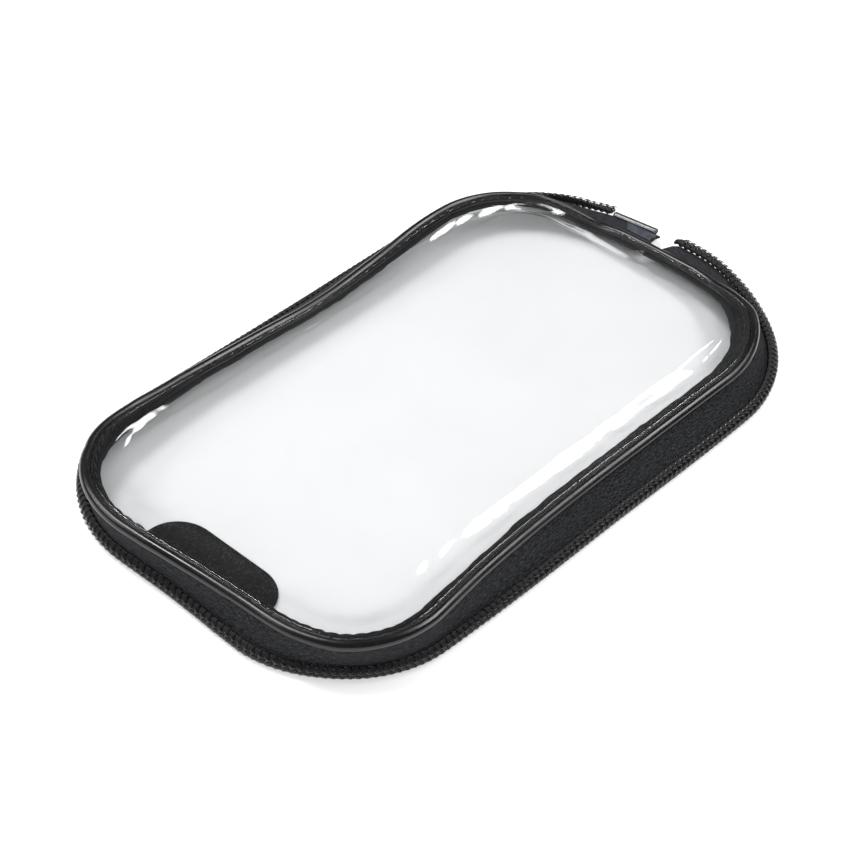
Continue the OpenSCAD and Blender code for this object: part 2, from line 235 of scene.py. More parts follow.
@dataclass
class Rim:
    """Shape of the leaning wall and piped rim: the solids' sizes, with rounder pin corners.

    The tables start at station 0 and are evenly spaced round the foot. Slopes and rolls are in
    degrees; shifts, which are outwards where negative, lifts and hems are in mm.
    """

    length: float = 187.0
    width: float = 104.0
    pin_r: float = 43.0
    closed_r: float = 32.0
    closed_left_r: float = 37.0
    wall_w: float = 10.7
    bead_r: float = 1.3
    tape_t: float = 0.6
    seat: float = 0.03
    flange_h: float = 0.45
    film_h: float = 0.9
    film_top: float = 9.3
    middle_l: float = 141.0
    middle_w: float = 69.0
    middle_r: float = 10.0
    middle_at: float = -3.5
    coil_a: float = 1.6
    coil_b: float = 1.15
    tuck_l: float = 3.4
    tail_s: float = 2.5
    tuck_f: float = 0.82
    slopes: tuple[float, ...] = (
        47, 47, 48, 50, 50, 39, 28, 25, 23, 20, 18, 28, 40, 50, 53, 43,
        36, 40, 44, 49, 72, 83, 86, 84, 78, 72, 68, 78, 86, 77, 62, 52,
    )
    rolls: tuple[float, ...] = (0, 0, 0, 0, 0, 8, 66, 75, 80, 80, 16, 0, 0, 0, 0, 0)
    shifts: tuple[float, ...] = (
        -1.15, -1.4, -0.3, -0.2, -0.6, 0, 1.0, 1.2, 1.5, 1.5, 0.6, 0, 0.2, -0.5, 0.3, -1.0,
    )
    lifts: tuple[float, ...] = (
        0.0, 0.0, 0.0, 0.0, 0.0, 0.4, 1.2, 2.2, 2.0, 1.4, 1.4, 1.5, 1.5, 1.1, 0.6, 0.3,
    ) + (0.0,) * 16
    hems: tuple[float, ...] = (
        2.5, 2.6, 2.9, 3.6, 4.6, 3.0, 1.8, 1.6, 1.7, 1.7, 1.5, 1.6, 1.5, 1.4, 1.5, 1.2,
        0.9, 1.0, 1.6, 3.2, 2.6, 2.1, 2.0, 1.8, 2.0, 2.0, 2.2, 2.8, 2.5, 2.7, 2.3, 2.6,
    )
    cuts: dict[float, Cut] = field(default_factory=dict)

    def __post_init__(self) -> None:
        """Set up the two outlines."""
        corners = (self.pin_r, self.pin_r, self.closed_left_r, self.closed_r)
        self.foot = Outline(self.length / 2, self.width / 2, corners)
        self.middle = Outline(
            self.middle_l / 2, self.middle_w / 2, (self.middle_r,) * 4, self.middle_at
        )
        self.far_step = (self.width / 2 - self.pin_r + self.pin_r * math.pi / 4) / 2
        self.whole = self.foot.run_to(STATIONS)

    def far(self, s: float) -> float:
        """Station on the +Y side, s to the -X side of its middle."""
        return 4 + s / self.far_step

    def tuck(self, t: float) -> float:
        """How far the turned-in end of the tape has gone from foot to knee."""
        left = (STATIONS + self.far(self.tail_s) - t) * self.far_step
        return self.tuck_f * blend(1 - left / self.tuck_l) if left < self.tuck_l else 0.0

    def sway(self, t: float, size: float, seed: float, f: float = 0.0) -> float:
        """Smooth noise from about -1 to 1 round the rim.

        Args:
            t: The station.
            size: Size of its swells in mm.
            seed: Picks the noise.
            f: Place across the rim, in swells.

        Returns:
            The noise there.
        """
        x, y, _ = self.foot.at(t)
        return ripple(x / size, y / size, seed + f)

    def hem(self, t: float) -> float:
        """Width of the seam allowance beyond the bead, with its uneven cut edge."""
        edge = looped(self.hems, t * len(self.hems) / STATIONS)
        return edge + 0.28 * self.sway(t, 7.0, 3.1) + 0.12 * self.sway(t, 2.1, 8.7)

    def cut(self, t: float) -> Cut:
        """The section at a station, worked out once."""
        key = round(t, 7)
        if key not in self.cuts:
            self.cuts[key] = self._cut(t)
        return self.cuts[key]

    def _cut(self, t: float) -> Cut:
        """Work out the section: bead and knee from the slope, coil and foot from the roll."""
        x, y, turn = self.foot.at(t)
        a = math.radians(looped(self.slopes, t * len(self.slopes) / STATIONS))
        up = Vector((-math.cos(a), math.sin(a)))
        out = Vector((math.sin(a), math.cos(a)))
        bead = self.wall_w * up
        mx, my, _ = self.middle.at(t)
        bx, by = x + bead.x * math.cos(turn), y + bead.x * math.sin(turn)
        rise = math.atan2(self.film_top - bead.y - self.film_h, math.hypot(bx - mx, by - my))
        lean = (out + Vector((math.sin(rise), math.cos(rise)))).normalized()
        knee = bead - (self.bead_r + self.tape_t / 2) * lean
        roll = math.radians(looped(self.rolls, t))
        lean = Vector((-math.cos(a + roll), math.sin(a + roll)))
        face = Vector((math.sin(a + roll), math.cos(a + roll)))
        arrive = Vector((-math.cos(a - 0.4 * roll), math.sin(a - 0.4 * roll)))
        half_z = math.hypot(self.coil_a * lean.y, self.coil_b * face.y)
        half_r = math.hypot(self.coil_a * lean.x, self.coil_b * face.x)
        clear_z = (self.coil_b + self.tape_t + 2 * self.seat) * face.y
        coil = Vector((-half_r - looped(self.shifts, t), max(half_z, clear_z)))
        behind = coil - (self.coil_b + self.tape_t / 2 + self.seat) * face
        ahead = min(0.9, max(-0.3, (behind.y - self.tape_t / 2) / max(0.2, lean.y)))
        foot = behind - ahead * lean
        lift = Vector((0.0, max(0.0, looped(self.lifts, t * len(self.lifts) / STATIONS))))
        coil, foot = coil + lift, foot + lift
        tuck = self.tuck(t)
        if tuck:
            shift = tuck * (knee - foot)
            coil, foot = coil + shift, foot + shift
        return Cut(t, x, y, turn, out, lean, face, arrive, 1 + roll / 3, bead, rise, knee, coil, foot)

    def spot(self, s: float) -> Spot:
        """The place at a length s along the foot outline from station 0."""
        return Spot(self.cut(self.foot.station(s)))

    def wall(self, t: float, f: float, off: float = 0.0) -> Vector:
        """Point of the wall's section.

        Args:
            t: The station.
            f: How far from its foot to its knee.
            off: How far outwards from the middle of the tape.

        Returns:
            The point.
        """
        p = self._wall(t, f)
        if not off:
            return p
        d = (self._wall(t, f + 0.02) - self._wall(t, f - 0.02)).normalized()
        return p + off * Vector((d.y, -d.x))

    def _wall(self, t: float, f: float) -> Vector:
        """Middle of the tape at f of the way from the wall's foot to its knee."""
        c = self.cut(t)
        h = (c.knee - c.foot).length * c.pull
        g = 1 - f
        p = g * g * (1 + 2 * f) * c.foot + f * f * (3 - 2 * f) * c.knee
        p += h * f * g * (g * c.lean - f * c.arrive)
        swell = (0.35 + 0.3 * self.sway(t, 23.0, 1.7)) * (1 - self.tuck(t))
        return p + swell * math.sin(math.pi * f) * c.out


RIM = Rim()


def lying(p: Vector, gap: float, half_t: float, dip: float = 0.12) -> float:
    """Height of a point of a stitch over what it lies on, its ends pulled down.

    Args:
        p: The point on the unit ball, z along the stitch.
        gap: Height of the middle of the stitch.
        half_t: Half its thickness.
        dip: How far its ends go down.

    Returns:
        The height.
    """
    return gap - dip * abs(p.z) ** 3 + half_t * p.y


# ---------------------------------------------------------------- mesh making


class Meshes:
    """Makes the meshes: grids bent into place, closed, capped and made into objects."""

    @staticmethod
    def grid(
        place: Placer,
        nu: int,
        nv: int,
        size: Pair,
        bm: bmesh.types.BMesh | None = None,
    ) -> bmesh.types.BMesh:
        """A grid whose corners run from 0 to 1 both ways, bent into place.

        Args:
            place: Gives the point in metres for two fractions.
            nu: Cells along the first.
            nv: Cells along the second.
            size: Lengths of the two in mm, for the map that patterns follow.
            bm: Mesh to add to, or None for a new one.

        Returns:
            The mesh.
        """
        bm = bm or bmesh.new()
        uv = bm.loops.layers.uv.get("UVMap") or bm.loops.layers.uv.new("UVMap")
        made = bmesh.ops.create_grid(bm, x_segments=nu, y_segments=nv, size=0.5)["verts"]
        flat = {v: (v.co.x + 0.5, v.co.y + 0.5) for v in made}
        for face in {f for v in made for f in v.link_faces}:
            face.smooth = True
            for loop in face.loops:
                u, w = flat[loop.vert]
                loop[uv].uv = (u * size[0], w * size[1])
        for v, (u, w) in flat.items():
            v.co = place(u, w)
        return bm

    @staticmethod
    def close(bm: bmesh.types.BMesh, merge: float = 1e-6) -> None:
        """Merge the seams, fill the open ends and point the faces outwards."""
        bmesh.ops.remove_doubles(bm, verts=bm.verts, dist=merge)
        rims = [e for e in bm.edges if e.is_boundary]
        if rims:
            bmesh.ops.holes_fill(bm, edges=rims, sides=0)
        bmesh.ops.recalc_face_normals(bm, faces=bm.faces)

    @staticmethod
    def shell(
        place: Placer, nu: int, nv: int, size: Pair, merge: float = 1e-6
    ) -> bmesh.types.BMesh:
        """A grid bent into a closed shell, with the arguments of grid and close."""
        bm = Meshes.grid(place, nu, nv, size)
        Meshes.close(bm, merge)
        return bm

    @staticmethod
    def rings(section: Callable[[float], list[Vector]], station: Callable[[float], float]) -> Placer:
        """Placer that runs along the rim and round its closed sections.

        Args:
            section: Gives the points of the section at a station.
            station: Gives the station for a fraction along.

        Returns:
            The placer.
        """
        section = cache(section)

        def place(u: float, w: float) -> Vector:
            """Point of the section there at w of the way round it."""
            ring = section(station(u))
            return RIM.cut(station(u)).place(ring[round(w * len(ring)) % len(ring)])

        return place

    @staticmethod
    def grains(places: Sequence[Layer], rings: int = 6, sides: int = 8) -> bmesh.types.BMesh:
        """Rounded grains, such as stitches, each bent into its place.

        Args:
            places: For each grain, the point in metres for one on the unit ball, z along it.
            rings: Rings along each.
            sides: Sides round each.

        Returns:
            The mesh.
        """
        ball = bmesh.new()
        bmesh.ops.create_uvsphere(ball, u_segments=sides, v_segments=rings, radius=1.0)
        for face in ball.faces:
            face.smooth = True
        unit = [v.co.copy() for v in ball.verts]
        mesh = bpy.data.meshes.new("ball")
        ball.to_mesh(mesh)
        ball.free()
        bm = bmesh.new()
        for _ in places:
            bm.from_mesh(mesh)
        bpy.data.meshes.remove(mesh)
        verts = iter(bm.verts)
        for place in places:
            for co in unit:
                next(verts).co = place(co.copy())
        return bm

    @staticmethod
    def piece(
        bm: bmesh.types.BMesh,
        name: str,
        slot: Slot,
        body: Body | None,
        nodes: Sequence[str] = (),
        sharp: float = 50.0,
    ) -> bpy.types.Object:
        """Make a mesh into a piece of the object.

        Args:
            bm: The mesh, freed here.
            name: Name of the piece.
            slot: The record's material slot, which picks its finish.
            body: The body it rides on, or None for a piece that runs from the fixed wall to the pin end,
                left on no body with its place baked in.
            nodes: Nodes that it stands for.
            sharp: Edges over this many degrees shade sharp.

        Returns:
            The object.
        """
        mesh = bpy.data.meshes.new(name)
        bm.to_mesh(mesh)
        bm.free()
        mesh.set_sharp_from_angle(angle=math.radians(sharp))
        mesh.materials.append(made_of(slot))
        obj = bpy.data.objects.new(name, mesh)
        bpy.context.scene.collection.objects.link(obj)
        if body is not None:
            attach(obj, body.value)
        if nodes:
            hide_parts(*nodes)
        if body is None:
            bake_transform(obj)
        LOG.info("%s: %d faces", name, len(mesh.polygons))
        return obj


# ---------------------------------------------------------------- finishes


class Shade:
    """Adds and joins shader nodes in one material."""

    def __init__(self, name: str) -> None:
        """Start an empty material."""
        self.material = bpy.data.materials.new(name)
        self.material.use_nodes = True
        self.tree = self.material.node_tree
        self.tree.nodes.clear()

    def node(
        self, kind: str, inputs: dict[str | int, object] | None = None, **props: object
    ) -> bpy.types.Node:
        """Add a node.

        Args:
            kind: Node type, without its ShaderNode prefix.
            inputs: Values or sockets by input name or number.
            props: Settings of the node.

        Returns:
            The node.
        """
        made = self.tree.nodes.new("ShaderNode" + kind)
        for key, value in props.items():
            setattr(made, key, value)
        for key, value in (inputs or {}).items():
            if isinstance(value, Socket):
                self.tree.links.new(value, made.inputs[key])
            else:
                made.inputs[key].default_value = value
        return made

    def math(self, operation: str, a: object, b: object = 0.0, c: object = 0.0) -> Socket:
        """One arithmetic step on up to three values or sockets."""
        return self.node("Math", {0: a, 1: b, 2: c}, operation=operation).outputs[0]

    def total(self, *terms: tuple[Socket, float]) -> Socket:
        """Sum of sockets, each times its own weight."""
        parts = [at if weight == 1 else self.math("MULTIPLY", at, weight) for at, weight in terms]
        return reduce(lambda a, b: self.math("ADD", a, b), parts)

    def sine(self, value: Socket, period: float) -> Socket:
        """Waves of a given length along a value."""
        return self.math("SINE", self.math("MULTIPLY", value, TURN / period))

    def coords(self) -> Socket:
        """Object coordinates, in metres."""
        return self.node("TexCoord").outputs["Object"]

    def flat_map(self) -> Socket:
        """The piece's own map, in mm along and across."""
        return self.node("UVMap", uv_map="UVMap").outputs["UV"]

    def split(self, vector: Socket) -> tuple[Socket, Socket]:
        """The first two parts of a vector."""
        parts = self.node("SeparateXYZ", {0: vector}).outputs
        return parts[0], parts[1]

    def mapped(
        self, vector: Socket, scale: Triple = (1.0, 1.0, 1.0), turn: Triple = (0.0, 0.0, 0.0)
    ) -> Socket:
        """A vector scaled and turned."""
        return self.node("Mapping", {"Vector": vector, "Scale": scale, "Rotation": turn}).outputs[0]

    def noise(self, vector: Socket, scale: float, detail: float = 2.0, rough: float = 0.5) -> Socket:
        """Noise on a vector."""
        inputs = {"Vector": vector, "Scale": scale, "Detail": detail, "Roughness": rough}
        return self.node("TexNoise", inputs).outputs["Fac"]

    def cells(self, vector: Socket, scale: float, feature: str = "F1") -> Socket:
        """Distance to the middle of the nearest cell."""
        inputs = {"Vector": vector, "Scale": scale}
        return self.node("TexVoronoi", inputs, feature=feature).outputs["Distance"]

    def spread(self, value: Socket, low: float, high: float, to: Pair = (0.0, 1.0)) -> Socket:
        """A value stretched from low..high to another range, held at its ends."""
        inputs = {"Value": value, "From Min": low, "From Max": high, "To Min": to[0], "To Max": to[1]}
        return self.node("MapRange", inputs).outputs[0]

    def mix(self, factor: Socket, a: Colour, b: Colour) -> Socket:
        """Two colours mixed by a factor."""
        return self.node("Mix", {0: factor, 6: rgba(a), 7: rgba(b)}, data_type="RGBA").outputs[2]

    def bump(self, height: Socket, distance: float) -> Socket:
        """A bumped normal from a height, distance in metres."""
        return self.node("Bump", {"Height": height, "Distance": distance}).outputs["Normal"]

    def coat(
        self,
        colour: Socket,
        rough: Socket,
        gloss: float,
        relief: tuple[Socket, float],
        more: dict[str, object] | None = None,
    ) -> bpy.types.Material:
        """Finish the material as one opaque skin.

        Args:
            colour: Its colour.
            rough: Its roughness.
            gloss: Its specular level.
            relief: Height of its relief and the depth of that in metres.
            more: Other inputs of the shader.

        Returns:
            The material.
        """
        inputs = {
            "Base Color": colour,
            "Roughness": rough,
            "Specular IOR Level": gloss,
            "Normal": self.bump(*relief),
        }
        return self.finish(self.node("BsdfPrincipled", inputs | (more or {})))

    def finish(self, shader: bpy.types.Node) -> bpy.types.Material:
        """Join a shader to the output."""
        self.node("OutputMaterial", {"Surface": shader.outputs[0]})
        return self.material


def rgba(colour: Colour) -> tuple[float, float, float, float]:
    """A colour with full alpha."""
    return (*colour, 1.0)


@dataclass(frozen=True)
class VinylFinish:
    """Glossy black vinyl with a faint leather grain and dust."""

    colour: Colour = (0.004, 0.004, 0.0045)
    dust: Colour = (0.016, 0.016, 0.015)
    rough: Pair = (0.17, 0.36)
    gloss: float = 0.45
    depth: float = 0.000012
    dust_scale: float = 900.0
    wear_scale: float = 60.0
    cell_scale: float = 2600.0
    swell_scale: float = 350.0

    def material(self) -> bpy.types.Material:
        """Build the material."""
        sh = Shade("glossy black vinyl")
        at = sh.coords()
        dust = sh.spread(sh.noise(at, self.dust_scale, 4, 0.7), 0.56, 0.75)
        worn = sh.spread(sh.noise(at, self.wear_scale, 3), 0.3, 0.7, self.rough)
        cells = sh.cells(at, self.cell_scale, "SMOOTH_F1")
        height = sh.total((cells, 1), (sh.noise(at, self.swell_scale), 2.2))
        return sh.coat(sh.mix(dust, self.colour, self.dust), worn, self.gloss, (height, self.depth))


@dataclass(frozen=True)
class WovenFinish:
    """Black woven tape: a herringbone of twisted yarns with pale flecks, partly real fleck colour and
    partly painted sparkle on the raised yarns, sizes in mm.
    """

    dark: Colour = (0.003, 0.003, 0.0035)
    # Pale colour of the flecks: partly real pale fibre, partly painted sparkle on the raised yarns.
    pale: Colour = (0.055, 0.057, 0.064)
    rough: Pair = (0.62, 0.9)
    gloss: float = 0.16
    yarn: float = 0.58
    pick: float = 0.42
    stripe: float = 2.9
    depth: float = 0.00018
    fleck_scale: float = 2.6
    slub_scale: float = 1.3
    slub_stretch: Triple = (0.5, 2.4, 1.0)

    def material(self) -> bpy.types.Material:
        """Build the material."""
        sh = Shade("woven black tape")
        at = sh.flat_map()
        u, v = sh.split(at)
        side = sh.math("PINGPONG", v, self.stripe)
        twill = sh.math("SINE", sh.total((u, TURN / self.pick), (side, TURN / self.yarn)))
        warp = sh.sine(v, self.yarn)
        fleck = sh.noise(at, self.fleck_scale, 3, 0.6)
        slub = sh.noise(sh.mapped(at, self.slub_stretch), self.slub_scale)
        height = sh.total((twill, 0.30), (warp, 0.16), (fleck, 1.1))
        # Colour mask: the flecks and twill that also raise the relief, so it is partly real fleck colour
        # and partly painted sparkle.
        fleck_and_sparkle = sh.spread(sh.total((twill, 0.05), (slub, 0.35), (fleck, 0.65)), 0.44, 0.62)
        rough = sh.spread(fleck, 0.3, 0.7, self.rough)
        return sh.coat(sh.mix(fleck_and_sparkle, self.dark, self.pale), rough, self.gloss, (height, self.depth))


@dataclass(frozen=True)
class RibFinish:
    """Black ribbed fabric with pale loops, partly real pale fibre and partly painted sparkle on the raised
    loops, ribs and loops in mm.
    """

    dark: Colour = (0.004, 0.004, 0.004)
    # Pale colour of the loops and flecks: partly real pale fibre, partly painted sparkle.
    pale: Colour = (0.040, 0.040, 0.037)
    rough: Pair = (0.7, 0.95)
    gloss: float = 0.15
    rib: float = 0.95
    loop: float = 0.7
    depth: float = 0.00011
    cell_scale: float = 900.0
    fleck_scale: float = 1500.0

    def material(self) -> bpy.types.Material:
        """Build the material."""
        sh = Shade("black ribbed fabric")
        at = sh.coords()
        x, y = sh.split(at)
        rib = sh.sine(x, self.rib * MM)
        loop = sh.math("SINE", sh.total((y, TURN / (self.loop * MM)), (rib, 1.4)))
        cell = sh.cells(at, self.cell_scale)
        fleck = sh.noise(at, self.fleck_scale, 2, 0.6)
        # Colour mask: flecks and loops that also raise the relief, so it is partly real fleck colour and
        # partly painted sparkle.
        fleck_and_sparkle = sh.spread(sh.total((fleck, 1), (loop, 0.06), (cell, -0.22)), 0.42, 0.66)
        height = sh.total((rib, 0.5), (loop, 0.35), (fleck, 1))
        rough = sh.spread(fleck, 0.3, 0.7, self.rough)
        return sh.coat(sh.mix(fleck_and_sparkle, self.dark, self.pale), rough, self.gloss, (height, self.depth))


@dataclass(frozen=True)
class NylonFinish:
    """Black nylon monofilament with fine draw lines."""

    colour: Colour = (0.004, 0.004, 0.004)
    worn: Colour = (0.012, 0.012, 0.012)
    rough: Pair = (0.20, 0.40)
    gloss: float = 0.50
    depth: float = 0.00001
    wear_scale: float = 1100.0
    line_scale: float = 5000.0

    def material(self) -> bpy.types.Material:
        """Build the material."""
        sh = Shade("black nylon coil")
        at = sh.coords()
        wear = sh.spread(sh.noise(at, self.wear_scale, 3, 0.6), 0.45, 0.72)
        lines = sh.noise(sh.mapped(at, (1.0, 1.0, 0.25)), self.line_scale, 1)
        rough = sh.spread(wear, 0.0, 1.0, self.rough)
        return sh.coat(sh.mix(wear, self.colour, self.worn), rough, self.gloss, (lines, self.depth))


@dataclass(frozen=True)
class ThreadFinish:
    """Twisted sewing thread or cord, its twist in mm, with painted shade in the low grooves of the twist.
    """

    name: str
    colour: Colour
    # Painted shade: the colour of the low grooves between the plies.
    deep: Colour
    rough: float = 0.45
    twist: float = 0.35
    gloss: float = 0.4
    sheen: float = 0.1
    depth: float = 0.00004
    fuzz_scale: float = 4200.0
    lay: Triple = (0.6, 0.4, 0.8)

    def material(self) -> bpy.types.Material:
        """Build the material."""
        sh = Shade(self.name)
        at = sh.coords()
        wave = {"Scale": 0.3 / (self.twist * MM), "Distortion": 1.5, "Detail": 1.0}
        ply = sh.node("TexWave", {"Vector": sh.mapped(at, turn=self.lay)} | wave).outputs["Fac"]
        fuzz = sh.noise(at, self.fuzz_scale)
        # One mask sets both the relief and the colour, so the grooves get the painted shade colour; the
        # fuzz in it is random tone.
        tone = sh.total((ply, 0.6), (fuzz, 0.4))
        rough = sh.spread(fuzz, 0.3, 0.7, (self.rough - 0.08, self.rough + 0.1))
        sheen = {"Sheen Weight": self.sheen}
        return sh.coat(sh.mix(tone, self.deep, self.colour), rough, self.gloss, (tone, self.depth), sheen)


@dataclass(frozen=True)
class FilmFinish:
    """Clear soft film: see-through with a grey tint, partly its own and partly painted shade over what is
    seen through it, with a mirror-like skin and faint haze.
    """

    # Grey see-through tint: partly the film's own faint grey and partly painted shade darkening the floor
    # seen through it.
    tint: Colour = (0.900, 0.903, 0.905)
    skin: Colour = (0.96, 0.97, 0.98)
    haze: float = 0.015
    rough: Pair = (0.05, 0.12)
    depth: float = 0.00007
    swell_scale: float = 75.0
    wave_scale: float = 260.0
    smear_scale: float = 45.0

    def material(self) -> bpy.types.Material:
        """Build the material."""
        sh = Shade("clear film")
        at = sh.coords()
        waves = sh.total((sh.noise(at, self.swell_scale), 1), (sh.noise(at, self.wave_scale), 0.16))
        normal = sh.bump(waves, self.depth)
        # The see-through part carries the grey tint, partly painted shade.
        clear = sh.node("BsdfTransparent", {"Color": rgba(self.tint)})
        smear = sh.noise(at, self.smear_scale, 4, 0.6)
        skin = sh.node(
            "BsdfPrincipled",
            {
                "Base Color": rgba(self.skin),
                "Metallic": 1.0,
                "Roughness": sh.spread(smear, 0.35, 0.7, self.rough),
                "Normal": normal,
            },
        )
        facing = sh.node("LayerWeight", {"Blend": 0.5, "Normal": normal}).outputs["Facing"]
        edge = sh.math("MULTIPLY_ADD", sh.math("POWER", facing, 4.0), 0.9, 0.05)
        hazy = sh.spread(smear, 0.4, 0.75, (self.haze * 0.4, self.haze * 1.6))
        share = sh.total((edge, 1), (hazy, 1))
        return sh.finish(sh.node("MixShader", {0: share, 1: clear.outputs[0], 2: skin.outputs[0]}))


@dataclass(frozen=True)
class EndFilmFinish:
    """Bluish reinforcing film, cloudy where it is stuck to the tape."""

    cool: Colour = (0.022, 0.026, 0.036)
    grey: Colour = (0.050, 0.054, 0.066)
    rough: Pair = (0.30, 0.48)
    gloss: float = 0.5
    depth: float = 0.00005
    cloud_scale: float = 420.0
    weave_scale: float = 2300.0

    def material(self) -> bpy.types.Material:
        """Build the material."""
        sh = Shade("reinforcing film")
        at = sh.coords()
        cloud = sh.spread(sh.noise(at, self.cloud_scale, 4, 0.6), 0.35, 0.68)
        height = sh.total((sh.noise(at, self.weave_scale), 1), (cloud, 1))
        rough = sh.spread(cloud, 0.0, 1.0, self.rough)
        return sh.coat(sh.mix(cloud, self.cool, self.grey), rough, self.gloss, (height, self.depth))


@dataclass(frozen=True)
class MetalFinish:
    """Bright drawn metal with fine scratches along it, darker towards its edges as painted shade where
    they turn away from the view.
    """

    colour: Colour = (0.80, 0.80, 0.82)
    # Painted shade: the dark colour painted on the edges that turn away from the view.
    edge: Colour = (0.012, 0.012, 0.014)
    rough: Pair = (0.2, 0.38)
    gloss: float = 0.1
    depth: float = 0.000008
    scratch_scale: float = 5200.0

    def material(self) -> bpy.types.Material:
        """Build the material."""
        sh = Shade("bright metal")
        drawn = sh.noise(sh.mapped(sh.coords(), (0.12, 1.0, 1.0)), self.scratch_scale, 3)
        # Painted shade: mask of the edges turned away from the view; there the colour goes dark and the
        # metal stops mirroring.
        rim = sh.spread(sh.node("LayerWeight", {"Blend": 0.5}).outputs["Facing"], 0.05, 0.15)
        metal = {"Metallic": sh.spread(rim, 0.0, 1.0, (1.0, 0.0))}
        rough = sh.spread(drawn, 0.3, 0.7, self.rough)
        return sh.coat(sh.mix(rim, self.colour, self.edge), rough, self.gloss, (drawn, self.depth), metal)


@dataclass(frozen=True)
class FloorFinish:
    """Plain pale floor."""

    colour: Colour = (0.90, 0.90, 0.90)
    rough: float = 0.9
    gloss: float = 0.1

    def material(self) -> bpy.types.Material:
        """Build the material."""
        sh = Shade("pale floor")
        inputs = {
            "Base Color": rgba(self.colour),
            "Roughness": self.rough,
            "Specular IOR Level": self.gloss,
        }
        return sh.finish(sh.node("BsdfPrincipled", inputs))


FINISHES = {
    Slot.FILM: FilmFinish(),
    Slot.VINYL: VinylFinish(),
    Slot.WHITE_CORD: ThreadFinish(
        "twisted cotton cord", (0.72, 0.71, 0.66), (0.42, 0.41, 0.37), rough=0.85, twist=0.9
    ),
    Slot.BLACK_CORD: ThreadFinish(
        "braided filler cord", (0.010, 0.010, 0.011), (0.004, 0.004, 0.004), 0.6, 0.5, 0.2
    ),
    Slot.BLACK_THREAD: ThreadFinish(
        "bonded black thread", (0.008, 0.008, 0.009), (0.003, 0.003, 0.003), rough=0.6, gloss=0.1
    ),
    Slot.ZIP_THREAD: ThreadFinish(
        "shiny zip thread", (0.020, 0.020, 0.022), (0.005, 0.005, 0.006), rough=0.24, gloss=0.55
    ),
    Slot.TAPE: WovenFinish(),
    Slot.COIL: NylonFinish(),
    Slot.END_FILM: EndFilmFinish(),
    Slot.PIN: MetalFinish(),
    Slot.TAB: RibFinish(),
}


@cache
def made_of(slot: Slot) -> bpy.types.Material:
    """The material of a slot, built once."""
    return FINISHES[slot].material()


# ---------------------------------------------------------------- window and piping


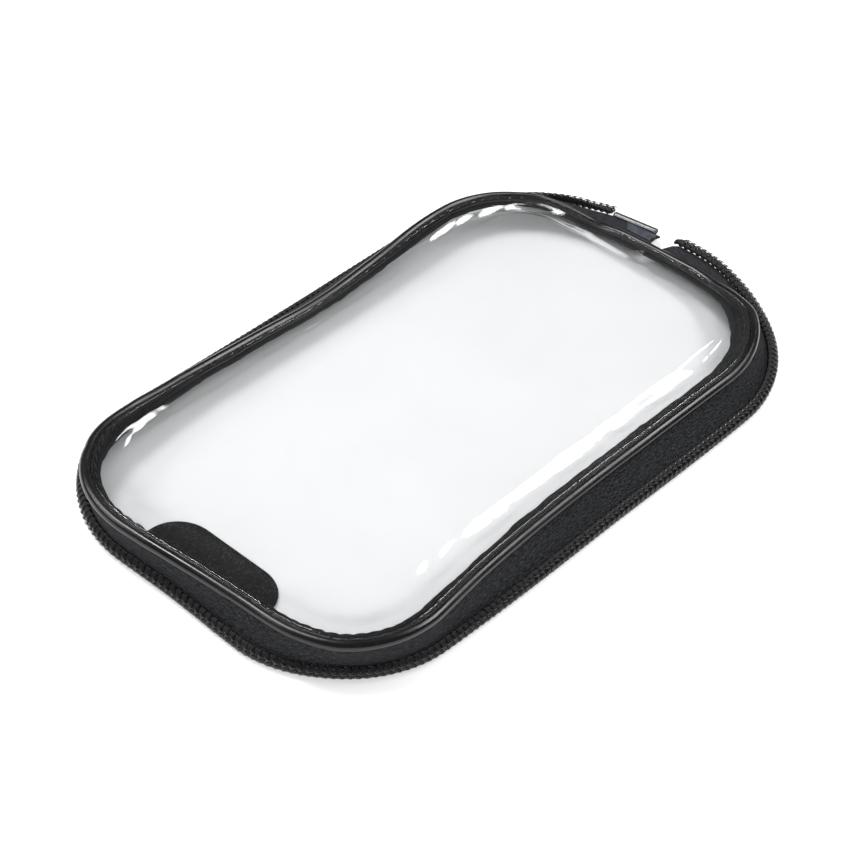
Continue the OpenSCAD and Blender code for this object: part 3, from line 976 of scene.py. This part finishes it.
@dataclass
class Window:
    """The clear film and the three rows of stitches in its seam."""

    film_t: float = 0.5
    start_q: float = 1.42
    sewn_q: float = 4.2
    sewn_w: float = 0.16
    slope_w: float = 0.62
    soft: float = 0.65
    valley: float = 0.9
    fold: Pair = (0.50, 0.16)
    pucker: float = 0.015
    pucker_l: float = 3.2
    sag: float = 0.28
    slack: tuple[float, ...] = (
        1.0, 0.9, 0.7, 0.5, 0.4, 0.5, 0.7, 0.5, 0.5, 0.7, 0.8, 0.8, 0.7, 0.6, 0.9, 1.1,
    )
    stitch_r: float = 0.13
    stitch_dip: float = 0.16
    row_q: float = 0.3
    close_pitch: float = 2.6
    seam_pitch: float = 3.4
    around: int = 420
    across: int = 64

    def _surface(self, u: float, w: float) -> Vector:
        """Middle surface of the film: u round the rim, w from its edge to its middle."""
        t = u * STATIONS
        c = RIM.cut(t)
        sewn, slope = self.sewn_w, self.slope_w
        pucker = self.pucker * math.sin(TURN * round(RIM.whole / self.pucker_l) * u)
        if w <= sewn:
            q = self.start_q + (self.sewn_q - self.start_q) * w / sewn
            return c.place(c.seam(q, RIM.film_h + pucker * (1 - w / sewn)))
        b = c.place(c.seam(self.sewn_q, RIM.film_h)) / MM
        mx, my, _ = RIM.middle.at(t)
        mid = Vector((mx, my, RIM.film_top - self.film_t / 2))
        if w <= slope:
            f = (w - sewn) / (slope - sewn)
            p = b.lerp(mid, f)
            p.z = b.z + (mid.z - b.z) * (self.soft * blend(f) + (1 - self.soft) * f)
            slack = looped(self.slack, t)
            p.z -= self.valley * math.sin(math.pi * f) ** 2 * slack
            broad = RIM.sway(t, 9.0, 4.0, f * 0.9) * self.fold[0]
            fine = RIM.sway(t, 4.0, 9.0, f * 1.6) * self.fold[1]
            p.z += (broad + fine) * math.sin(math.pi * f) * slack
            return p * MM
        f = (w - slope) / (1 - slope)
        shrink = 1 - f
        p = Vector((mx * shrink, RIM.middle_at + (my - RIM.middle_at) * shrink, mid.z))
        sag = self.sag * math.sin(math.pi * min(1.0, f * 1.4) / 2)
        p.z -= sag * (0.6 + 0.4 * ripple(p.x / 30, p.y / 40, 2.0))
        p.z += 0.05 * blend(f * 6) * ripple(p.x / 17, p.y / 26, 7.0)
        return p * MM

    def film(self) -> None:
        """Build the clear film."""
        bm = Meshes.grid(self._surface, self.around, self.across, (RIM.whole, 60.0))
        bmesh.ops.remove_doubles(bm, verts=bm.verts, dist=2e-6)
        bmesh.ops.recalc_face_normals(bm, faces=bm.faces)
        if sum(f.normal.z for f in bm.faces) < 0:
            bmesh.ops.reverse_faces(bm, faces=bm.faces)
        obj = Meshes.piece(bm, "window_film_clear", Slot.FILM, Body.POCKET, ["window_film"], 180)
        wall = obj.modifiers.new("thickness", "SOLIDIFY")
        wall.thickness = self.film_t * MM
        wall.offset = 0.0

    def sewing(self) -> None:
        """Build the stitches over, under and inside the seam."""
        top = RIM.film_h + self.film_t / 2 + 0.04
        under = -RIM.flange_h - RIM.tape_t - 0.14
        rows = (
            ("piping_thread", "piping_stitches", 0.0, RIM.flange_h + 0.08, self.close_pitch),
            ("window_seam_thread", "window_stitches", 0.3, top, self.seam_pitch),
            ("seam_bobbin_thread", "bobbin_stitches", 0.4, under, self.seam_pitch),
        )
        for node, name, share, h, pitch in rows:
            count = round(RIM.whole / pitch)
            placers = []
            for k in range(count):
                s = (k + 0.5) * RIM.whole / count
                q = RIM.bead_r + self.row_q + share * RIM.hem(RIM.foot.station(s))
                placers.append(self._stitch(s, q, h, 0.4 * pitch))
            Meshes.piece(Meshes.grains(placers), name, Slot.BLACK_THREAD, Body.POCKET, [node])

    def _stitch(self, s: float, q: float, h: float, half: float) -> Layer:
        """Placer of one stitch lying along the seam, its ends pulled down.

        Args:
            s: Length along the outline.
            q: Place inward from the middle of the bead.
            h: Height above the flange.
            half: Half its length.

        Returns:
            The placer.
        """
        spot = RIM.spot(s % RIM.whole)
        side = -1.0 if h < 0 else 1.0

        def place(p: Vector) -> Vector:
            """Point of the stitch."""
            high = h + self.stitch_r * p.y - side * self.stitch_dip * abs(p.z) ** 3
            return spot.place(spot.cut.seam(q + self.stitch_r * p.x, high), p.z * half)

        return place


@dataclass
class Piping:
    """The vinyl strip and the cord that it is folded round."""

    strip_t: float = 0.4
    slit: float = 0.05
    least: float = 0.6
    top_share: float = 0.72
    low_share: float = 0.66
    cord_gap: float = 0.05
    cord_lay: float = 2.2
    around: int = 400
    outer_steps: int = 22
    inner_steps: int = 14

    def _loop(self, t: float) -> list[Vector]:
        """Closed section of the strip at a station, as points of the section."""
        c = RIM.cut(t)
        r, inner = RIM.bead_r, RIM.bead_r - self.strip_t
        r += 0.03 * RIM.sway(t, 5.0, 5.5)
        top = r + max(self.least, RIM.hem(t) * self.top_share + 0.1 * RIM.sway(t, 3.0, 12.0))
        low = r + max(self.least, RIM.hem(t) * self.low_share)
        a0 = math.asin(RIM.flange_h / r)
        a1 = math.asin(self.slit / inner)
        outer = [a0 + (TURN - 2 * a0) * i / self.outer_steps for i in range(self.outer_steps + 1)]
        back = [a1 + (TURN - 2 * a1) * i / self.inner_steps for i in range(self.inner_steps, -1, -1)]
        pts = [c.seam(top - (top - r) * k / 3, RIM.flange_h) for k in range(3)]
        pts += [c.seam(r * math.cos(a), r * math.sin(a)) for a in outer]
        pts += [c.seam(r + (low - r) * k / 3, -RIM.flange_h) for k in range(1, 4)]
        pts += [c.seam(low, -self.slit)]
        pts += [c.seam(inner * math.cos(a), inner * math.sin(a)) for a in back]
        pts += [c.seam(top, self.slit)]
        return pts

    def strip(self) -> None:
        """Build the folded strip."""
        place = Meshes.rings(self._loop, lambda u: (u % 1.0) * STATIONS)
        bm = Meshes.shell(place, self.around, len(self._loop(0.0)), (RIM.whole, 14.0))
        Meshes.piece(bm, "piping_strip", Slot.VINYL, Body.POCKET, ["piping_cover"], 42)

    def cord(self) -> None:
        """Build the cord inside the strip."""
        r = RIM.bead_r - self.strip_t - self.cord_gap

        def place(u: float, w: float) -> Vector:
            """Point of the cord's twisted skin."""
            c = RIM.cut((u % 1.0) * STATIONS)
            ring = TURN * w
            lump = 1 + 0.04 * math.sin(2 * ring + TURN * round(RIM.whole / self.cord_lay) * u)
            return c.place(c.seam(r * lump * math.cos(ring), r * lump * math.sin(ring)))

        bm = Meshes.shell(place, 2 * self.around, 10, (RIM.whole, 5.4))
        Meshes.piece(bm, "piping_cord_twisted", Slot.WHITE_CORD, Body.POCKET, ["piping_cord"])


# ---------------------------------------------------------------- zip


@dataclass
class ZipTape:
    """The woven tape: hem under the film, knee under the piping, wall and foot."""

    hinge_off: float = 2.4
    hinge_k: int = 8
    hem_steps: int = 5
    end_from: float = 5.0
    loose_to: float = 34.0
    step: float = 1.25

    def _line(self, t: float) -> list[Vector]:
        """Middle line of the tape at a station, foot first, its hinge at place hinge_k."""
        c = RIM.cut(t)
        wall_l = (c.knee - c.foot).length
        split = max(0.15, 1 - self.hinge_off / wall_l) if wall_l > self.hinge_off * 1.2 else 0.5
        lower = [RIM.wall(t, split * k / self.hinge_k) for k in range(self.hinge_k + 1)]
        bend = max(split + 0.02, 1 - 0.7 / max(0.8, wall_l))
        upper = [RIM.wall(t, split + (bend - split) * k / 2) for k in range(1, 3)]
        under = -RIM.flange_h - RIM.tape_t / 2 - RIM.seat
        root = 0.5
        inner = c.seam(RIM.bead_r + root, under)
        a = upper[-1]
        turn = [a.lerp(c.knee, k).lerp(c.knee.lerp(inner, k), k) for k in (0.25, 0.5, 0.75, 1.0)]
        hem = RIM.hem(t) + 0.25 + 0.2 * RIM.sway(t, 2.6, 21.0)
        run = max(root, hem - root)
        droop = 0.14 + 0.1 * RIM.sway(t, 6.0, 31.0)
        shares = [k / self.hem_steps for k in range(1, self.hem_steps + 1)]
        flat = [c.seam(RIM.bead_r + root + run * k, under - droop * k**2) for k in shares]
        return lower + upper + turn + flat

    def _ring(self, t: float, first: int, last: int | None) -> list[Vector]:
        """Closed section of the tape between two places of its middle line."""
        line = self._line(t)
        normals = []
        for i, p in enumerate(line):
            d = (line[min(i + 1, len(line) - 1)] - line[max(i - 1, 0)]).normalized()
            normals.append(Vector((d.y, -d.x)))
        half = RIM.tape_t / 2
        part = range(first, len(line) if last is None else last + 1)
        outer = [line[i] + half * normals[i] for i in part]
        inner = [line[i] - half * normals[i] for i in reversed(part)]
        return outer + inner

    def _band(
        self, bm: bmesh.types.BMesh, stations: Pair, first: int, last: int | None
    ) -> None:
        """Add one length of the tape.

        Args:
            bm: Mesh to add to.
            stations: First and last station.
            first: Its first place across the tape.
            last: Its last place, or None for the hem.
        """
        s0, s1 = (RIM.foot.run_to(t) for t in stations)
        run = s1 - s0
        place = Meshes.rings(
            lambda t: self._ring(t, first, last), lambda u: RIM.foot.station(s0 + run * u)
        )
        count = len(self._ring(stations[0], first, last))
        band = Meshes.shell(place, max(4, round(run / self.step)), count, (run, count * 0.9))
        mesh = bpy.data.meshes.new("band")
        band.to_mesh(mesh)
        band.free()
        bm.from_mesh(mesh)
        bpy.data.meshes.remove(mesh)

    def tape(self) -> None:
        """Build the tape that stays with the pocket."""
        bm = bmesh.new()
        end = STATIONS + RIM.far(RIM.tail_s) - 0.0001
        self._band(bm, (RIM.far(self.end_from), end), self.hinge_k, None)
        self._band(bm, (RIM.far(self.loose_to), end), 0, self.hinge_k)
        obj = Meshes.piece(bm, "zip_tape_wall", Slot.TAPE, Body.POCKET, ["zip_tape"])

    def loose_end(self) -> None:
        """Build the lower wall of the bending end, left on no body."""
        bm = bmesh.new()
        self._band(bm, (RIM.far(self.end_from), RIM.far(self.loose_to)), 0, self.hinge_k)
        Meshes.piece(bm, "zip_tape_end", Slot.TAPE, None, ["pin_end_tape"])


@dataclass
class CoilZip:
    """Half a coil zip: turns of monofilament on a filler cord, sewn to the tape."""

    pitch: float = 1.85
    wire_r: float = 0.43
    head: float = 0.62
    head_w: float = 0.62
    lag: float = 0.10
    start: float = 20.5
    loose_to: float = 34.0
    tail: float = 0.2
    steps: int = 14
    core_in: Pair = (0.2, 0.85)
    stitch_arch: float = 0.36
    stitch_sink: float = 0.24
    stitch_half: float = 0.54
    outer_row: Pair = (-0.42, 0.26)
    inner_row: Pair = (0.58, -0.26)
    chain_rows: Pair = (0.28, 0.40)
    chain_tail: float = 13.0

    def _span(self) -> tuple[float, float, float]:
        """Lengths along the outline where the coil starts, is fixed from, and ends."""
        end = RIM.foot.run_to(STATIONS + 4) - self.tail
        return RIM.foot.run_to(RIM.far(self.start)), RIM.foot.run_to(RIM.far(self.loose_to)), end

    def _at(self, s: float, along: float, off: float) -> Vector:
        """Point of the coil: s along it, then up the wall and out of it from its middle."""
        c = RIM.cut(RIM.foot.station(s))
        return c.place(c.coil + along * c.lean + off * c.face)

    def _turns(self, s0: float, first: int, count: int) -> bmesh.types.BMesh:
        """A run of turns.

        Args:
            s0: Length along the outline where turn 0 begins.
            first: Number of the first turn.
            count: How many turns.

        Returns:
            Their mesh.
        """
        a, b = RIM.coil_a - self.wire_r, RIM.coil_b - self.wire_r

        def place(u: float, w: float) -> Vector:
            """Point of the wire's skin, its head swollen at the outer edge."""
            turn = first + u * count
            whole = math.floor(turn + 1e-9)
            f = turn - whole
            angle = TURN * f
            late = f >= 0.5
            forward = self.lag + (1 - self.lag) * blend(2 * f - 1) if late else self.lag * blend(2 * f)
            bulge = math.exp(-(((angle - math.pi) / self.head_w) ** 2))
            ring = TURN * w
            r_in = self.wire_r * math.cos(ring)
            r_ax = self.wire_r * (1 + self.head * bulge) * math.sin(ring)
            return self._at(
                s0 + (whole + forward) * self.pitch + r_ax,
                (a + r_in) * math.cos(angle),
                (b + r_in) * math.sin(angle),
            )

        return Meshes.shell(place, count * self.steps, 6, (count * 8.0, 2.0))

    def _rope(self, s0: float, s1: float, half: Pair) -> bmesh.types.BMesh:
        """An oval rope along the coil between two lengths."""

        def place(u: float, w: float) -> Vector:
            """Point of the rope's twisted skin."""
            ring = TURN * w
            s = s0 + (s1 - s0) * u
            lump = 1 + 0.06 * math.sin(TURN * s / 1.1 + 2 * ring)
            return self._at(s, half[0] * lump * math.cos(ring), half[1] * lump * math.sin(ring))

        return Meshes.shell(place, max(6, round((s1 - s0) / 0.7)), 10, (s1 - s0, 4.0))

    def _row(self, s0: float, first: int, count: int, along: float, slant: float) -> bmesh.types.BMesh:
        """A row of sewing over the turns.

        Args:
            s0: Length along the outline where turn 0 begins.
            first: Number of the first turn that is sewn.
            count: How many turns.
            along: Place of the row up the wall from the coil's middle.
            slant: How far each stitch leans across the row, in mm.

        Returns:
            Its mesh.
        """
        placers = []
        top = RIM.coil_b * math.sqrt(1 - (along / RIM.coil_a) ** 2)
        for k in range(first, first + count):
            spot = RIM.spot(s0 + (k + 0.06) * self.pitch)
            wander = 0.05 * ripple(k * 0.9, along * 3)

            def place(p: Vector, spot: Spot = spot, wander: float = wander) -> Vector:
                """Point of one stitch, arched over its turn."""
                c = spot.cut
                arch = self.stitch_arch * (1 - abs(p.z) ** 2.2) - self.stitch_sink
                up = along + wander + slant * p.z + 0.15 * p.x
                out = top + arch + 0.13 * p.y
                return spot.place(c.coil + up * c.lean + out * c.face, p.z * self.pitch * self.stitch_half)

            placers.append(place)
        return Meshes.grains(placers, 7, 7)

    def build(self) -> None:
        """Build the coil, its cord and its sewing, fixed part and loose end."""
        s0, s1, s2 = self._span()
        loose = round((s1 - s0) / self.pitch)
        total = int((s2 - s0) / self.pitch)
        joint = s0 + loose * self.pitch
        parts = (
            ("", loose, total - loose, joint, s2, Body.POCKET),
            ("_end", 0, loose, s0, joint, None),
        )
        core = tuple(
            half - share * self.wire_r
            for half, share in zip((RIM.coil_a, RIM.coil_b), self.core_in)
        )
        for tail, first, count, a, b, body in parts:
            rows = [self._row(s0, first, count, *row) for row in (self.outer_row, self.inner_row)]
            made = (
                (self._turns(s0, first, count), "coil_turns", Slot.COIL, "zip_coil"),
                (self._rope(a, b, core), "coil_filler", Slot.BLACK_CORD, "coil_cord"),
                (rows[0], "coil_stitches_outer", Slot.ZIP_THREAD, "coil_thread_outer"),
                (rows[1], "coil_stitches_inner", Slot.ZIP_THREAD, "coil_thread_inner"),
            )
            for bm, name, slot, node in made:
                Meshes.piece(bm, name + tail, slot, body, [node] if body else ())

    def looper(self) -> None:
        """Build the chain of loops on the inner face of the tape."""
        a, b = (RIM.foot.run_to(RIM.far(s)) for s in (self.start, self.loose_to))
        end = RIM.foot.run_to(STATIONS + 4) - self.chain_tail
        parts = (
            ("", b, end, Body.POCKET, ["coil_looper_thread"]),
            ("_end", a, b, None, ()),
        )
        for tail, s0, s1, body, nodes in parts:
            count = round((s1 - s0) / self.pitch)
            placers = [
                self._loop(s0 + (k + 0.5) * (s1 - s0) / count, row)
                for row in self.chain_rows
                for k in range(count)
            ]
            bm = Meshes.grains(placers, 6, 6)
            Meshes.piece(bm, "looper_chain" + tail, Slot.BLACK_THREAD, body, nodes)

    @staticmethod
    def _loop(s: float, f: float) -> Layer:
        """Placer of one loop of the chain on the inner face of the wall."""
        spot = RIM.spot(s)
        t = spot.cut.t
        mid = RIM.wall(t, f)
        inward = (RIM.wall(t, f, -1.0) - mid).normalized()
        up = Vector((inward.y, -inward.x))

        def place(p: Vector) -> Vector:
            """Point of the loop."""
            off = RIM.tape_t / 2 + lying(p, 0.10, 0.13)
            return spot.place(mid + off * inward + 0.2 * p.x * up, 0.98 * p.z)

        return place


@dataclass
class TailTack:
    """Bar tack across the turned-in end of the tape."""

    at: float = 5.5
    threads: int = 5
    spacing: float = 0.34
    length: float = 1.6
    middle_f: float = 0.55

    def build(self) -> None:
        """Build the tack as close-lying stitches on the wall's outer face."""
        s = RIM.foot.run_to(STATIONS + 4) - self.at
        middle = (self.threads - 1) / 2
        bm = Meshes.grains([self._bar(s + self.spacing * (i - middle)) for i in range(self.threads)])
        Meshes.piece(bm, "tail_tack_stitches", Slot.BLACK_THREAD, Body.POCKET, ["tail_tack"])

    def _bar(self, s: float) -> Layer:
        """Placer of one stitch of the tack, down the wall."""
        spot = RIM.spot(s)
        c = spot.cut
        span = (c.knee - c.foot).length

        def place(p: Vector) -> Vector:
            """Point of the stitch."""
            f = self.middle_f + p.z * self.length / 2 / span
            off = RIM.tape_t / 2 + lying(p, 0.10, 0.14)
            return spot.place(RIM.wall(c.t, f, off), 0.15 * p.x)

        return place


@dataclass
class PinEnd:
    """Reinforcing film plies and the insertion pin at the free end of the tape."""

    film_t: float = 0.2
    low_f: float = 0.10
    outer_f: float = 0.42
    inner_f: float = 0.46
    first: float = 5.0
    slant: Pair = (15.6, 13.2)
    pin_l: float = 13.4
    pin_r: float = 0.9
    pin_s: Pair = (6.6, 20.0)
    tip_l: float = 0.55
    seam_w: float = 0.035
    seam_depth: float = 0.16

    def _ply(self, side: float, name: str, node: str) -> None:
        """One ply of the film on a face of the tape.

        Args:
            side: 1 for the outer face and -1 for the inner.
            name: Name of the piece.
            node: The node that it stands for.
        """
        high_f = self.outer_f if side > 0 else self.inner_f

        def place(u: float, w: float, layer: float) -> Vector:
            """Point of the ply, layer -1 next to the tape and 1 away from it."""
            f = self.low_f + high_f * w
            notch = 0.45 * max(0.0, math.sin(w * 9.0 + 0.6)) + 0.12 * ripple(w * 9, side)
            near = self.first + 0.15 + notch * (1 - u) ** 3
            far = self.slant[0] + (self.slant[1] - self.slant[0]) * w + 0.15 * ripple(w * 4, 2.0)
            t = RIM.far(near + (far - near) * u)
            off = RIM.tape_t / 2 + 0.02 + self.film_t * (0.5 + layer / 2)
            off += 0.05 * ripple(u * 3, w * 3, side)
            return RIM.cut(t).place(RIM.wall(t, f, side * off))

        bm = bmesh.new()
        for layer in (-1.0, 1.0):
            Meshes.grid(lambda u, w, h=layer: place(u, w, h), 18, 10, (9.0, 5.0), bm)
        rims = [e for e in bm.edges if e.is_boundary]
        bmesh.ops.bridge_loops(bm, edges=rims)
        bmesh.ops.recalc_face_normals(bm, faces=bm.faces)
        Meshes.piece(bm, name, Slot.END_FILM, Body.TAPE_END, [node])

    def _pin(self) -> None:
        """The pin: a rolled bar with a seam along it and rounded ends."""
        lo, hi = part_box("insertion_pin")
        a = Vector((lo[0] + 0.0001, lo[1] + self.pin_r * MM, lo[2] + self.pin_r * MM))
        b = Vector((hi[0] - 0.0001, hi[1] - self.pin_r * MM, hi[2] - self.pin_r * MM))
        a.z += max(0.0, looped(RIM.lifts, 2 * RIM.far(self.pin_s[1]))) * MM
        b.z += max(0.0, looped(RIM.lifts, 2 * RIM.far(self.pin_s[0]))) * MM
        axis = (b - a).normalized()
        side = axis.cross(Vector((0, 0, 1))).normalized()
        top = side.cross(axis)

        def place(u: float, w: float) -> Vector:
            """Point of the bar's skin, rounded off at both ends."""
            ring = TURN * w
            end = min(u, 1 - u) * self.pin_l
            r = self.pin_r * math.sqrt(1 - max(0.0, 1 - end / self.tip_l) ** 2)
            seam = self.seam_depth * math.exp(-(((w - 0.30) / self.seam_w) ** 2))
            flat = 0.90 if 0.2 < w < 0.8 else 1.0
            return a.lerp(b, u) + (side * math.cos(ring) + top * math.sin(ring) * flat) * (r - seam) * MM

        bm = Meshes.shell(place, 60, 40, (self.pin_l, 5.6), 4e-6)
        Meshes.piece(bm, "pin_rolled", Slot.PIN, Body.TAPE_END, ["insertion_pin"], 35)

    def build(self) -> None:
        """Build both plies and the pin."""
        self._ply(1.0, "end_film_outer_ply", "end_film_outer")
        self._ply(-1.0, "end_film_inner_ply", "end_film_inner")
        self._pin()


@dataclass
class EndTab:
    """Ribbed fabric tab at the closed end."""

    width: float = 36.0
    length: float = 17.0
    thick: float = 1.2
    corner: float = 9.0
    root_y: float = -89.4
    stitches: int = 11
    stitch_pitch: float = 2.9
    stitch_half: float = 1.2
    row_y: float = 1.5

    def _outline(self, a: float) -> Pair:
        """Edge of the tab at a fraction round it from its root's +X end."""
        half, deep = self.width / 2, self.length - self.corner
        arc = math.pi / 2 * self.corner
        runs = (deep, arc, self.width - 2 * self.corner, arc, deep)
        s = a * sum(runs)
        for k, run in enumerate(runs):
            if s <= run or k == 4:
                break
            s -= run
        if k == 0:
            return half, s
        if k == 1:
            b = s / self.corner
            return half - self.corner + self.corner * math.cos(b), deep + self.corner * math.sin(b)
        if k == 2:
            return half - self.corner - s, self.length
        if k == 3:
            b = s / self.corner
            return -half + self.corner - self.corner * math.sin(b), deep + self.corner * math.cos(b)
        return -half, deep - s

    def build(self) -> None:
        """Build the tab and its sewing."""
        edge = 0.5 * self.thick

        def place(u: float, w: float) -> Vector:
            """Point of the tab's rounded edge, w from its underside to its top."""
            x, y = self._outline(u)
            ring = math.pi * (w - 0.5)
            inset = (1 - math.cos(ring)) * edge
            x, y = x * (1 - inset / 9.0), y * (1 - inset / 12.0)
            return Vector((x, self.root_y + y, edge + edge * math.sin(ring))) * MM

        bm = Meshes.grid(place, 96, 6, (60.0, 2.0))
        rims = [e for e in bm.edges if e.is_boundary]
        low = [e for e in rims if all(v.co.z < 1e-6 for v in e.verts)]
        high = [e for e in rims if all(v.co.z > (self.thick - 1e-3) * MM for v in e.verts)]
        for row in (low, high):
            bmesh.ops.contextual_create(bm, geom=row)
        Meshes.close(bm)
        for face in bm.faces:
            if len(face.verts) > 12:
                face.smooth = False
        obj = Meshes.piece(bm, "end_tab_ribbed", Slot.TAB, Body.TAB, ["end_tab"])
        middle = (self.stitches - 1) / 2
        places = [self._stitch((k - middle) * self.stitch_pitch) for k in range(self.stitches)]
        bm = Meshes.grains(places)
        Meshes.piece(bm, "end_tab_stitches", Slot.BLACK_THREAD, Body.TAB, ["end_tab_thread"])

    def _stitch(self, x: float) -> Layer:
        """Placer of the stitch whose middle is at x."""

        def place(p: Vector) -> Vector:
            """Point of the stitch."""
            z = self.thick + lying(p, 0.06, 0.14)
            return Vector((x + self.stitch_half * p.z, self.root_y + self.row_y + 0.15 * p.x, z)) * MM

        return place


# ---------------------------------------------------------------- studio


@dataclass
class Studio:
    """Pale floor, soft lights and the camera."""

    eye: Vector = field(default_factory=lambda: Vector((0.25653, -0.36086, 0.37815)))
    ahead: Vector = field(default_factory=lambda: Vector((-0.4442, 0.6105, -0.6557)))
    right: Vector = field(default_factory=lambda: Vector((0.7514, 0.6525, 0.0986)))
    lens: float = 102.86
    sensor: float = 36.0
    floor_half: float = 6.0
    floor_z: float = -0.00005
    world: float = 0.09

    def camera(self) -> None:
        """Place the camera."""
        data = bpy.data.cameras.new("camera")
        data.lens = self.lens
        data.sensor_width = self.sensor
        data.clip_start = 0.01
        data.clip_end = 50.0
        back = -self.ahead.normalized()
        right = (self.right - self.right.dot(back) * back).normalized()
        up = back.cross(right)
        turn = Matrix((right, up, back)).transposed().to_4x4()
        cam = bpy.data.objects.new("camera", data)
        cam.matrix_world = Matrix.Translation(self.eye) @ turn
        bpy.context.scene.collection.objects.link(cam)
        bpy.context.scene.camera = cam

    def floor(self) -> None:
        """Lay the floor just under the pocket."""
        bm = bmesh.new()
        bmesh.ops.create_grid(bm, x_segments=1, y_segments=1, size=self.floor_half)
        bmesh.ops.translate(bm, verts=bm.verts, vec=(0, 0, self.floor_z))
        mesh = bpy.data.meshes.new("floor")
        bm.to_mesh(mesh)
        bm.free()
        mesh.materials.append(FloorFinish().material())
        obj = bpy.data.objects.new("floor", mesh)
        bpy.context.scene.collection.objects.link(obj)

    @staticmethod
    def lamp(
        name: str, at: Triple, size: Pair, power: float, mirrored: bool = True
    ) -> None:
        """Add a soft rectangular lamp that faces the pocket.

        Args:
            name: Its name.
            at: Its place in metres.
            size: Width and height in metres.
            power: Watts.
            mirrored: Whether glossy faces mirror it.
        """
        data = bpy.data.lights.new(name, "AREA")
        data.shape = "RECTANGLE"
        data.size, data.size_y = size
        data.energy = power
        lamp = bpy.data.objects.new(name, data)
        look = -Vector(at)
        lamp.matrix_world = Matrix.Translation(at) @ look.to_track_quat("-Z", "Y").to_matrix().to_4x4()
        lamp.visible_glossy = mirrored
        bpy.context.scene.collection.objects.link(lamp)

    def lights(self) -> None:
        """Set the white surroundings and the lamps."""
        world = bpy.data.worlds.new("studio")
        world.use_nodes = True
        inputs = world.node_tree.nodes["Background"].inputs
        inputs["Color"].default_value = rgba((1.0, 1.0, 1.0))
        inputs["Strength"].default_value = self.world
        bpy.context.scene.world = world
        bpy.context.scene.view_settings.view_transform = "Standard"
        self.lamp("overhead", (-0.62, 0.0, 1.2), (0.45, 0.45), 13.0)
        self.lamp("rear_strip", (0.22, 0.85, 1.05), (1.1, 0.32), 11.0)
        self.lamp("left_strip", (-0.85, -0.45, 0.8), (0.8, 0.22), 5.0)
        self.lamp("front_fill", (0.7, -0.8, 0.9), (0.8, 0.8), 20.0, mirrored=False)

    def build(self) -> None:
        """Build it all."""
        self.camera()
        self.floor()
        self.lights()


def main() -> None:
    """Build every piece in order; each piece logs its face count."""
    logging.basicConfig(level=logging.INFO, format="%(name)s %(message)s")
    Studio().build()
    piping = Piping()
    piping.strip()
    piping.cord()
    window = Window()
    tape = ZipTape()
    tape.tape()
    tape.loose_end()
    window.film()
    window.sewing()
    coil = CoilZip()
    coil.build()
    coil.looper()
    TailTack().build()
    PinEnd().build()
    EndTab().build()


if __name__ == "__main__":
    main()
